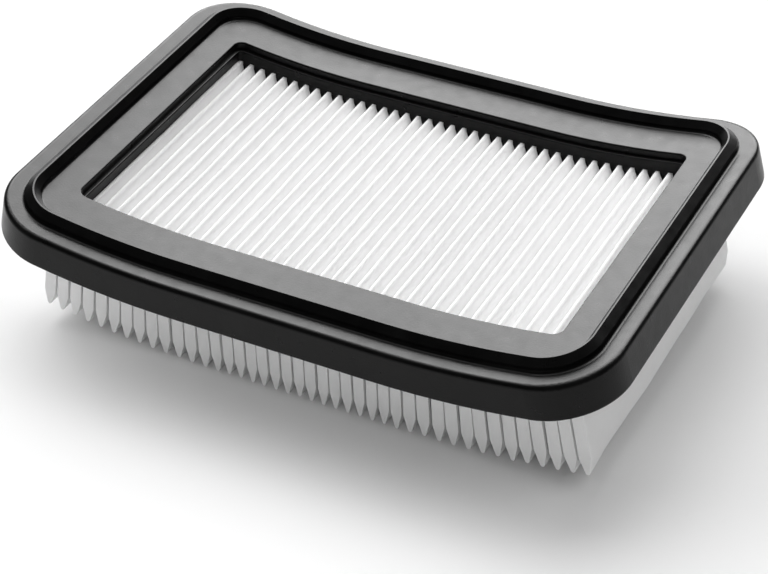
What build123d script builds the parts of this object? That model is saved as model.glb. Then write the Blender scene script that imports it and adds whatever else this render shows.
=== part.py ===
"""Flat pleated filter of a vacuum cleaner.

A black moulded sealing frame carries a hanging pack of white pleats. The frame is straight over its
middle and bends up at both ends, and the pack follows it, so its pleats fan out below the ends.
Stations run along the bow from the middle of the part. Levels are measured square to the bow, from
the flat top of the frame. The pleat tips of the straight middle stand on the plane z = 0.
"""
import os
from math import atan2, copysign, cos, hypot, sin

from build123d import *

os.makedirs("parts", exist_ok=True)

# Driving dimensions in millimetres: the bow of the frame
straight_length = 62.0
bow_radius = 260.0

# The frame and the opening in it
frame_length = 191.0
frame_width = 137.5
frame_corner = 20.5
frame_edge_round = 1.5
underside_edge_round = 0.8
end_border = 19.5
side_border = 22.75
opening_corner = 3.0
opening_edge_round = 0.5

# The lip round the opening, the ledge in its wall and the grip below, moulded round the edge of the pack
lip_thickness = 6.0
ledge_drop = 2.4
ledge_width = 1.4
ledge_edge_round = 0.4
grip_depth = 5.6
end_cover = 5.9
side_cover = 5.75

# The sealing rib that runs round the top of the frame, with a narrow crest between sloping sides, and
# the flange outside it, which lies a little lower than the flat inside it
rib_inset = 8.1
rib_height = 3.2
rib_crest = 0.5
rib_slope = 2.0
rib_foot_round = 0.9
flange_drop = 0.5

# The pleated sheet, folded loosely along its ridges and tightly along its tips
pleat_pitch = 3.9
pleat_height = 36.0
sheet_thickness = 0.55
ridge_slit = 0.7
tip_slit = 0.1
pocket_end_thickness = 0.9

# Values that follow from the sizes above
frame_thickness = lip_thickness + grip_depth
opening_length = frame_length - 2 * end_border
opening_width = frame_width - 2 * side_border
pack_length = opening_length + 2 * end_cover
pack_width = opening_width + 2 * side_cover
pleat_count = round(pack_length / pleat_pitch)
pleat_step = pack_length / pleat_count
ridge_width = 2 * sheet_thickness + ridge_slit
tip_width = 2 * sheet_thickness + tip_slit
ridge_level = -lip_thickness
tip_level = ridge_level - pleat_height
half_straight = straight_length / 2
bend_height = bow_radius - tip_level
rib_chamfer = min(rib_slope, 0.6 * rib_height)
foot_round = min(rib_foot_round, 0.9 * (rib_height - rib_chamfer))
rib_half_width = rib_crest / 2 + rib_chamfer
past_face = rib_height + frame_edge_round
same_place = 0.05


def on_bow(station, level):
    """Point of the XZ plane at a station along the bow and a level square to it."""
    angle = max(abs(station) - half_straight, 0) / bow_radius
    reach = min(abs(station), half_straight) + (bow_radius - level) * sin(angle)
    return (copysign(reach, station), bend_height - (bow_radius - level) * cos(angle))


def station_and_level(point):
    """Station, without its sign, and level of a point of the part."""
    beyond = max(abs(point.X) - half_straight, 0)
    drop = bend_height - point.Z
    station = min(abs(point.X), half_straight) + bow_radius * atan2(beyond, drop)
    return station, bow_radius - hypot(beyond, drop)


def is_on_outline(edge, length, width, corner, level):
    """Whether an edge runs along a rounded rectangle, laid over the bow at a level."""
    station, edge_level = station_and_level(edge @ 0.5)
    along = station - (length / 2 - corner)
    across = abs((edge @ 0.5).Y) - (width / 2 - corner)
    outside = hypot(max(along, 0), max(across, 0)) + min(max(along, across), 0) - corner
    return abs(outside) < same_place and abs(edge_level - level) < same_place


def outline_edges(part, length, width, corner, level):
    """Edges of a part that run round a rounded rectangle at a level."""
    return part.edges().filter_by(lambda edge: is_on_outline(edge, length, width, corner, level))


def frame_outline(inset):
    """Length, width and corner radius of the outline that lies inside the frame's by an inset."""
    return frame_length - 2 * inset, frame_width - 2 * inset, frame_corner - inset


def bowed_block(length, width, corner, low, high):
    """Block that follows the bow between two levels, with corners rounded in plan."""
    with BuildPart() as block:
        with BuildSketch(Plane.XZ):
            with BuildLine():
                for level in (low, high):
                    Line(on_bow(-half_straight, level), on_bow(half_straight, level))
                    for side in (-1, 1):
                        start = side * half_straight
                        end = side * length / 2
                        ThreePointArc(
                            on_bow(start, level), on_bow((start + end) / 2, level), on_bow(end, level)
                        )
                for side in (-1, 1):
                    Line(on_bow(side * length / 2, low), on_bow(side * length / 2, high))
            make_face()
        extrude(amount=width / 2, both=True)
        end_walls = block.faces().sort_by(Axis.X)
        end_edges = end_walls[0].edges() + end_walls[-1].edges()
        fillet(end_edges.filter_by(Axis.Y, reverse=True), radius=corner)
    return block.part


# Pleated medium, one folded sheet: a row of deep V pockets with welded ends, open to the top
first_ridge = -pack_length / 2
tips = [first_ridge + (pleat + 0.5) * pleat_step for pleat in range(pleat_count)]
half_gap = (pleat_step - ridge_width) / 2
with BuildPart() as pleated_medium:
    with BuildSketch(Plane.XZ):
        with BuildLine():
            underside = []
            for tip in tips:
                underside += [
                    on_bow(tip - (pleat_step - ridge_slit) / 2, ridge_level - sheet_thickness),
                    on_bow(tip - tip_width / 2, tip_level),
                    on_bow(tip + tip_width / 2, tip_level),
                    on_bow(tip + (pleat_step - ridge_slit) / 2, ridge_level - sheet_thickness),
                ]
            ridges = [on_bow(tip + pleat_step / 2, ridge_level) for tip in reversed(tips)]
            Polyline(*underside, *ridges, on_bow(first_ridge, ridge_level), close=True)
        make_face()
    extrude(amount=pack_width / 2, both=True)
    with BuildSketch(Plane.XZ):
        for tip in tips:
            with BuildLine():
                Polyline(
                    on_bow(tip - half_gap, ridge_level),
                    on_bow(tip - tip_slit / 2, tip_level + sheet_thickness),
                    on_bow(tip + tip_slit / 2, tip_level + sheet_thickness),
                    on_bow(tip + half_gap, ridge_level),
                    on_bow(tip, ridge_level + sheet_thickness),
                    close=True,
                )
            make_face()
    extrude(amount=pack_width / 2 - pocket_end_thickness, both=True, mode=Mode.SUBTRACT)
pleated_medium.part.label = "pleated_medium"
export_step(pleated_medium.part, "parts/pleated_medium.step")

# Sealing frame, one moulding: the rim with its rib, cast round the edge of the pleats
rib_outside = frame_outline(rib_inset - rib_half_width)
rib_inside = frame_outline(rib_inset + rib_half_width)
opening = (opening_length, opening_width, opening_corner)
ledge = (opening_length - 2 * ledge_width, opening_width - 2 * ledge_width, opening_corner - ledge_width)
with BuildPart() as sealing_frame:
    add(bowed_block(*frame_outline(0), -frame_thickness, -flange_drop))
    add(bowed_block(*rib_outside, -lip_thickness / 2, rib_height))
    add(bowed_block(*rib_inside, 0, past_face), mode=Mode.SUBTRACT)
    add(bowed_block(*opening, -ledge_drop, past_face), mode=Mode.SUBTRACT)
    add(bowed_block(*ledge, -frame_thickness - past_face, past_face), mode=Mode.SUBTRACT)
    for rib_side, foot_level in ((rib_outside, -flange_drop), (rib_inside, 0)):
        chamfer(outline_edges(sealing_frame, *rib_side, rib_height), length=rib_chamfer)
        fillet(outline_edges(sealing_frame, *rib_side, foot_level), radius=foot_round)
    fillet(outline_edges(sealing_frame, *frame_outline(0), -flange_drop), radius=frame_edge_round)
    fillet(outline_edges(sealing_frame, *frame_outline(0), -frame_thickness), radius=underside_edge_round)
    fillet(outline_edges(sealing_frame, *opening, 0), radius=opening_edge_round)
    fillet(outline_edges(sealing_frame, *ledge, -ledge_drop), radius=ledge_edge_round)
    add(pleated_medium.part, mode=Mode.SUBTRACT)
sealing_frame.part.label = "sealing_frame"
export_step(sealing_frame.part, "parts/sealing_frame.step")
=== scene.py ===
"""Looks of a flat pleated vacuum cleaner filter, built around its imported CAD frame."""
import math

import bpy
from mathutils import Matrix, Vector, noise


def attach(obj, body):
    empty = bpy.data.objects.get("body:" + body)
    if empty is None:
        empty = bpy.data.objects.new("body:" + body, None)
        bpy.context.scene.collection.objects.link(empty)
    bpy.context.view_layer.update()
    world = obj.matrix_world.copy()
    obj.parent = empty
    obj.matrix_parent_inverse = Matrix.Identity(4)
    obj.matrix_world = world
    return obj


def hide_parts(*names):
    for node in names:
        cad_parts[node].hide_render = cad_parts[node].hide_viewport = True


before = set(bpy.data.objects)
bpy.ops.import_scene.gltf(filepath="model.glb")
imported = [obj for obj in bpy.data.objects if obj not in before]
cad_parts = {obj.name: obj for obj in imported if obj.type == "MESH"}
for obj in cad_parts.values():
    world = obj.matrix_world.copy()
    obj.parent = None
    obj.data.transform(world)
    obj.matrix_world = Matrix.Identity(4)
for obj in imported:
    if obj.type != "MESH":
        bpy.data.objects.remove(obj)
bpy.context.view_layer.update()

MM = 0.001

# The bow of the part, as in its CAD source: straight in the middle, an arc towards each end
TOP_HEIGHT = 42.0 * MM
HALF_STRAIGHT = 31.0 * MM
BOW_RADIUS = 260.0 * MM

# The pleated sheet
PACK_LENGTH = 163.8 * MM
PACK_WIDTH = 103.5 * MM
PLEAT_COUNT = 42
RIDGE_LEVEL = -6.0 * MM
TIP_LEVEL = -42.0 * MM
CLOTH_THICKNESS = 0.5 * MM
RIDGE_RADIUS = 0.5 * MM
TIP_RADIUS = 0.3 * MM
WELD_WIDTH = 0.75 * MM
WELD_SLOPE = 0.4 * MM
OPEN_HALF_WIDTH = 44.6 * MM
POCKET_END = PACK_WIDTH / 2 - WELD_WIDTH - WELD_SLOPE

# The walls of a groove lean in on each other below the ridges, down to a share of the pleat's depth
LEAN_SHARE = 0.1
LEAN_IN = 1.04 * MM

# The welded ends of the pockets are pressed flat, so they swell out towards each other, most near the tips
SWELL_SHARE = 0.86
END_SWELL = 0.92 * MM

# How unevenly the cloth is folded
RIDGE_SWAY = 0.22 * MM
TIP_SWAY = 0.45 * MM
TIP_RISE = 0.5 * MM
WALL_SWAY = 0.25 * MM
WELDED_TIP_SHARE = 0.2

# Where the noise behind the sway is read: its length along a fold, and strides that keep the folds apart
SWAY_LENGTH = 26 * MM
SWAY_GAIN = 1.6
FOLD_STRIDE = 3.7
SEED_STRIDE = 1.9
RIDGE_SEED = 11
TIP_SEED = 37
WALL_SEED = 53
RISE_SEED = 71

# How far inside the frame's grip or the welds the ridges, the leaning walls and the tips come free
RIDGE_REACH = 8 * MM
LEAN_REACH = 4 * MM
TIP_REACH = 12 * MM

# How finely the sheet is drawn: points round a fold, shares of the depth down a wall, sections across
FOLD_POINTS = 7
WALL_SHARES = (0.04, 0.07, 0.1, 0.2, 0.45, 0.7, 0.86)
SECTION_COUNT = 30

# The camera of the photograph: the frame's top middle is seen a little above the centre of the picture
VIEW_AZIMUTH = math.radians(28.69)
VIEW_ELEVATION = math.radians(37.74)
VIEW_ROLL = math.radians(-2.07)
VIEW_DISTANCE = 643.1 * MM
AIM_LEFT = 0.23 * MM
AIM_DOWN = 29.75 * MM
FOCAL_PIXELS = 2211.5
PICTURE_WIDTH = 768
SENSOR_WIDTH = 36.0


def place_camera():
    """Camera at the photograph's viewing angle."""
    back = Vector((
        math.sin(VIEW_AZIMUTH) * math.cos(VIEW_ELEVATION),
        -math.cos(VIEW_AZIMUTH) * math.cos(VIEW_ELEVATION),
        math.sin(VIEW_ELEVATION),
    ))
    level_right = Vector((math.cos(VIEW_AZIMUTH), math.sin(VIEW_AZIMUTH), 0))
    level_up = back.cross(level_right)
    right = level_right * math.cos(VIEW_ROLL) + level_up * math.sin(VIEW_ROLL)
    up = back.cross(right)
    eye = Vector((0, 0, TOP_HEIGHT)) + back * VIEW_DISTANCE - right * AIM_LEFT - up * AIM_DOWN
    data = bpy.data.cameras.new("photo_camera")
    data.sensor_width = SENSOR_WIDTH
    data.lens = FOCAL_PIXELS * SENSOR_WIDTH / PICTURE_WIDTH
    data.clip_start = 0.01
    camera = bpy.data.objects.new("photo_camera", data)
    camera.matrix_world = Matrix((
        (right.x, up.x, back.x, eye.x),
        (right.y, up.y, back.y, eye.y),
        (right.z, up.z, back.z, eye.z),
        (0, 0, 0, 1),
    ))
    bpy.context.scene.collection.objects.link(camera)
    bpy.context.scene.camera = camera


def softbox(name, direction, distance, size, radiance):
    """Rectangular lamp that faces the middle of the part, as bright per area as its radiance says."""
    data = bpy.data.lights.new(name, "AREA")
    data.shape = "RECTANGLE"
    data.size, data.size_y = size
    data.energy = radiance * math.pi * size[0] * size[1]
    lamp = bpy.data.objects.new(name, data)
    towards = Vector(direction).normalized()
    lamp.location = towards * distance
    lamp.rotation_euler = towards.to_track_quat("Z", "Y").to_euler()
    lamp.visible_camera = False
    bpy.context.scene.collection.objects.link(lamp)
    return lamp


def light_scene():
    """A soft lamp high behind on the left, weak fills round the part, and a card that the rubber mirrors."""
    softbox("main_lamp", (-0.35, 0.5, 1.0), 2.0, (2.0, 2.0), 3.05)
    fills = [
        softbox("left_fill", (-0.9, -0.1, 0.6), 2.2, (2.0, 1.5), 2.6),
        softbox("right_fill", (0.55, 0.1, 0.83), 2.0, (1.6, 1.6), 1.5),
        softbox("front_fill", (0.3, -0.8, 0.56), 2.2, (1.8, 1.5), 0.95),
    ]
    for fill in fills:
        fill.visible_glossy = False
    gloss_card = softbox("gloss_card", (-0.25, 0.77, 0.59), 2.6, (2.7, 2.3), 10.0)
    gloss_card.visible_diffuse = False
    world = bpy.data.worlds.new("surround")
    world.use_nodes = True
    surround = world.node_tree.nodes["Background"]
    surround.inputs["Color"].default_value = (1, 1, 1, 1)
    surround.inputs["Strength"].default_value = 0.01
    bpy.context.scene.world = world


def new_material(name):
    """New node material, its node tree and its shader."""
    material = bpy.data.materials.new(name)
    material.use_nodes = True
    tree = material.node_tree
    return material, tree, tree.nodes["Principled BSDF"]


def unevenness_group():
    """Node group: soft variation over a surface, between a low and a high value."""
    group = bpy.data.node_groups.new("unevenness", "ShaderNodeTree")
    face = group.interface
    face.new_socket("Place", in_out="INPUT", socket_type="NodeSocketVector")
    face.new_socket("Scale", in_out="INPUT", socket_type="NodeSocketFloat")
    face.new_socket("Low", in_out="INPUT", socket_type="NodeSocketFloat")
    face.new_socket("High", in_out="INPUT", socket_type="NodeSocketFloat")
    face.new_socket("Level", in_out="OUTPUT", socket_type="NodeSocketFloat")
    inside = group.nodes.new("NodeGroupInput")
    outside = group.nodes.new("NodeGroupOutput")
    cloud = group.nodes.new("ShaderNodeTexNoise")
    cloud.inputs["Detail"].default_value = 3
    spread = group.nodes.new("ShaderNodeMapRange")
    spread.inputs["From Min"].default_value = 0.3
    spread.inputs["From Max"].default_value = 0.7
    link = group.links.new
    link(inside.outputs["Place"], cloud.inputs["Vector"])
    link(inside.outputs["Scale"], cloud.inputs["Scale"])
    link(cloud.outputs["Fac"], spread.inputs["Value"])
    link(inside.outputs["Low"], spread.inputs["To Min"])
    link(inside.outputs["High"], spread.inputs["To Max"])
    link(spread.outputs["Result"], outside.inputs["Level"])
    return group


def add_unevenness(tree, group, place, scale, low, high):
    """Places the unevenness group in a material, with its own values."""
    node = tree.nodes.new("ShaderNodeGroup")
    node.node_tree = group
    node.inputs["Scale"].default_value = scale
    node.inputs["Low"].default_value = low
    node.inputs["High"].default_value = high
    tree.links.new(place, node.inputs["Place"])
    return node.outputs["Level"]


def grey(tree, level):
    """Grey colour from a value."""
    node = tree.nodes.new("ShaderNodeCombineColor")
    for channel in ("Red", "Green", "Blue"):
        tree.links.new(level, node.inputs[channel])
    return node.outputs["Color"]


def frame_rubber(uneven):
    """Black moulded foam rubber with a satin skin."""
    material, tree, shader = new_material("frame_rubber")
    place = tree.nodes.new("ShaderNodeTexCoord").outputs["Object"]
    tone = add_unevenness(tree, uneven, place, 90, 0.002, 0.004)
    tree.links.new(grey(tree, tone), shader.inputs["Base Color"])
    gloss = add_unevenness(tree, uneven, place, 240, 0.27, 0.35)
    tree.links.new(gloss, shader.inputs["Roughness"])
    shader.inputs["Specular IOR Level"].default_value = 0.15
    skin = tree.nodes.new("ShaderNodeBump")
    skin.inputs["Strength"].default_value = 0.25
    skin.inputs["Distance"].default_value = 0.05 * MM
    tree.links.new(add_unevenness(tree, uneven, place, 1800, 0, 1), skin.inputs["Height"])
    tree.links.new(skin.outputs["Normal"], shader.inputs["Normal"])
    return material


def filter_fleece(uneven):
    """White non-woven cloth: matt, faintly translucent, with fine fibres."""
    material, tree, shader = new_material("filter_fleece")
    place = tree.nodes.new("ShaderNodeTexCoord").outputs["Object"]
    tone = add_unevenness(tree, uneven, place, 300, 0.975, 0.99)
    tree.links.new(grey(tree, tone), shader.inputs["Base Color"])
    shader.inputs["Roughness"].default_value = 0.9
    shader.inputs["Subsurface Weight"].default_value = 1.0
    shader.inputs["Subsurface Radius"].default_value = (1, 1, 1)
    shader.inputs["Subsurface Scale"].default_value = 0.25 * MM
    shader.inputs["Specular IOR Level"].default_value = 0.2
    fibres = tree.nodes.new("ShaderNodeBump")
    fibres.inputs["Strength"].default_value = 0.3
    fibres.inputs["Distance"].default_value = 0.1 * MM
    tree.links.new(add_unevenness(tree, uneven, place, 2500, 0, 1), fibres.inputs["Height"])
    tree.links.new(fibres.outputs["Normal"], shader.inputs["Normal"])
    return material


def on_bow(station, across, level):
    """Point of the part at a station along the bow, a place across it and a level square to it."""
    angle = max(abs(station) - HALF_STRAIGHT, 0) / BOW_RADIUS
    swing = BOW_RADIUS - level
    reach = min(abs(station), HALF_STRAIGHT) + swing * math.sin(angle)
    rise = TOP_HEIGHT + BOW_RADIUS - swing * math.cos(angle)
    return (math.copysign(reach, station), across, rise)


def fold_line():
    """Middle line of the folded cloth from end to end.

    Each point is a station, a level, the way square to the cloth there, how far down the pleat it lies
    from 0 at the ridge to 1 at the tip, and how many half pleats it lies from the first end.
    """
    half_step = PACK_LENGTH / PLEAT_COUNT / 2
    high = RIDGE_LEVEL - CLOTH_THICKNESS / 2 - RIDGE_RADIUS
    low = TIP_LEVEL + CLOTH_THICKNESS / 2 + TIP_RADIUS
    straight = math.hypot(half_step, high - low)
    lean = math.atan2(half_step, high - low) - math.asin((RIDGE_RADIUS + TIP_RADIUS) / straight)
    points = []
    for fold in range(2 * PLEAT_COUNT + 1):
        station = (fold - PLEAT_COUNT) * half_step
        for step in range(FOLD_POINTS):
            turn = (math.pi / 2 - lean) * (2 * step / (FOLD_POINTS - 1) - 1)
            side = math.sin(turn)
            out = math.cos(turn)
            if fold % 2:
                spot = (station + TIP_RADIUS * side, low - TIP_RADIUS * out)
                points.append((*spot, (-side, out), 1.0, fold))
            else:
                spot = (station + RIDGE_RADIUS * side, high + RIDGE_RADIUS * out)
                points.append((*spot, (side, out), 0.0, fold))
    line = []
    for point, after in zip(points, points[1:] + [None]):
        line.append(point)
        if after and after[4] != point[4]:
            down = after[3] > point[3]
            shares = WALL_SHARES if down else [1 - share for share in reversed(WALL_SHARES)]
            for share in shares:
                spot = [a + (b - a) * share for a, b in zip(point[:2], after[:2])]
                line.append((*spot, point[2], share if down else 1 - share, point[4] + share))
    return line


def sway(fold, across, seed):
    """Slow wander of a fold along its length, between about -1 and 1."""
    place = Vector((fold * FOLD_STRIDE + seed, across / SWAY_LENGTH, seed * SEED_STRIDE))
    return SWAY_GAIN * noise.noise(place)


def freedom(across):
    """How free the ridges are at a place across the pack: 0 in the grip of the frame, 1 well inside."""
    return min(max((OPEN_HALF_WIDTH - abs(across)) / RIDGE_REACH, 0), 1)


def slack(across, reach):
    """How loose the cloth is at a place across the pack: 0 at the welded ends, 1 from a reach inside them."""
    return min(max((POCKET_END - abs(across)) / reach, 0), 1)


def lean_in(depth, across):
    """How far a wall leans into its groove at a share of the depth, or swells out of it at the ends."""
    lean = LEAN_IN * min(depth / LEAN_SHARE, 1) * (1 - depth)
    swell = END_SWELL * min(depth / SWELL_SHARE, (1 - depth) / (1 - SWELL_SHARE))
    loose = slack(across, LEAN_REACH)
    return lean * loose - swell * (1 - loose)


def cloth_point(point, across, side):
    """Point of the folded cloth: side 1 is its upper face, -1 its lower face."""
    station, level, (along, up), depth, fold = point
    before = math.floor(fold)
    groove = before + 1 - before % 2
    ridge = before + before % 2
    ridge_shift = RIDGE_SWAY * freedom(across) * sway(ridge, across, RIDGE_SEED)
    tip_share = WELDED_TIP_SHARE + (1 - WELDED_TIP_SHARE) * slack(across, TIP_REACH) ** 2
    tip_shift = TIP_SWAY * tip_share * sway(groove, across, TIP_SEED)
    wall_shift = WALL_SWAY * math.sin(math.pi * depth) * sway(groove, across, WALL_SEED)
    station += ridge_shift * max(1 - depth / LEAN_SHARE, 0) + tip_shift * depth + wall_shift
    station += lean_in(depth, across) * (1 if groove > fold else -1)
    level += TIP_RISE * depth * abs(sway(groove, across, RISE_SEED))
    half = side * CLOTH_THICKNESS / 2
    return on_bow(station + half * along, across, level + half * up)


def pleated_cloth(material):
    """The filter cloth, one sheet folded into deep V pleats whose ends are welded shut."""
    line = fold_line()
    half_width = PACK_WIDTH / 2
    weld_start = half_width - WELD_WIDTH
    inner = [POCKET_END * (2 * n / (SECTION_COUNT - 1) - 1) for n in range(SECTION_COUNT)]
    sections = [-half_width, -weld_start, *inner, weld_start, half_width]
    mouth = RIDGE_LEVEL - CLOTH_THICKNESS / 2
    points = []
    for across in sections:
        welded = abs(across) > POCKET_END + WELD_SLOPE / 2
        for point in line:
            if welded:
                points.append(on_bow(point[0], across, max(point[1] + CLOTH_THICKNESS / 2, mouth)))
            else:
                points.append(cloth_point(point, across, 1))
        points += [cloth_point(point, across, -1) for point in reversed(line)]
    ring = 2 * len(line)
    faces = []
    for row in range(len(sections) - 1):
        for spot in range(ring):
            here = row * ring + spot
            there = row * ring + (spot + 1) % ring
            faces.append((here, here + ring, there + ring, there))
    last = (len(sections) - 1) * ring
    for spot in range(len(line) - 1):
        facing = ring - 1 - spot
        faces.append((spot, spot + 1, facing - 1, facing))
        faces.append((last + spot, last + facing, last + facing - 1, last + spot + 1))
    mesh = bpy.data.meshes.new("pleated_cloth")
    mesh.from_pydata(points, [], faces)
    mesh.validate()
    mesh.materials.append(material)
    mesh.shade_smooth()
    mesh.set_sharp_from_angle(angle=math.radians(50))
    cloth = bpy.data.objects.new("pleated_cloth", mesh)
    bpy.context.scene.collection.objects.link(cloth)
    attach(cloth, "root")
    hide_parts("pleated_medium")


def lay_floor(uneven):
    """Wide pale floor under the part."""
    half = 6.0
    corners = [(-half, -half, 0), (half, -half, 0), (half, half, 0), (-half, half, 0)]
    mesh = bpy.data.meshes.new("floor")
    mesh.from_pydata(corners, [], [(0, 1, 2, 3)])
    floor = bpy.data.objects.new("floor", mesh)
    bpy.context.scene.collection.objects.link(floor)
    material, tree, shader = new_material("floor_white")
    place = tree.nodes.new("ShaderNodeTexCoord").outputs["Object"]
    tone = add_unevenness(tree, uneven, place, 3, 0.93, 0.95)
    tree.links.new(grey(tree, tone), shader.inputs["Base Color"])
    shader.inputs["Roughness"].default_value = 0.95
    shader.inputs["Specular IOR Level"].default_value = 0.0
    mesh.materials.append(material)


def dress(node_name, material):
    """Gives a CAD node its finish."""
    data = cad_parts[node_name].data
    data.materials.clear()
    data.materials.append(material)


place_camera()
light_scene()
uneven = unevenness_group()
lay_floor(uneven)
dress("sealing_frame", frame_rubber(uneven))
pleated_cloth(filter_fleece(uneven))
bpy.context.scene.view_settings.view_transform = "Standard"
